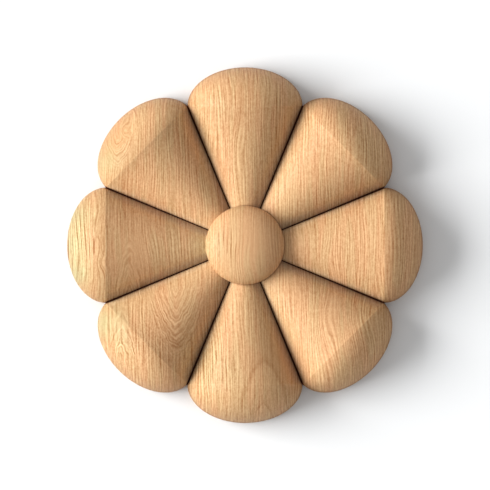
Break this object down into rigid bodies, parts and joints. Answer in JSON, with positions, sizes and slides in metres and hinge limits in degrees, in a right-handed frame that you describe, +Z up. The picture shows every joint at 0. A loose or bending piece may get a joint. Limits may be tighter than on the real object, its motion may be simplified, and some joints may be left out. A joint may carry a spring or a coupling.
{
  "type": "carved wooden rosette",
  "caption": "Round carved oak rosette with rounded petals around a domed button, flat at the back for fixing to a wall, door or cabinet.",
  "frame": {"origin": "centre of the flat back, where the rosette meets what it is fixed to", "axes": "+Z up and along the grain as fixed on a wall, -Y out of the carved face, +Y into the wall, +X to the right of a viewer who faces the carving"},
  "size_m": [0.12, 0.0216, 0.12],
  "materials": {
    "oak": "smooth sanded oak, unvarnished, with its grain running straight up the whole face"
  },
  "bodies": {
    "root": {"rosette": "oak"}
  },
  "joints": []
}
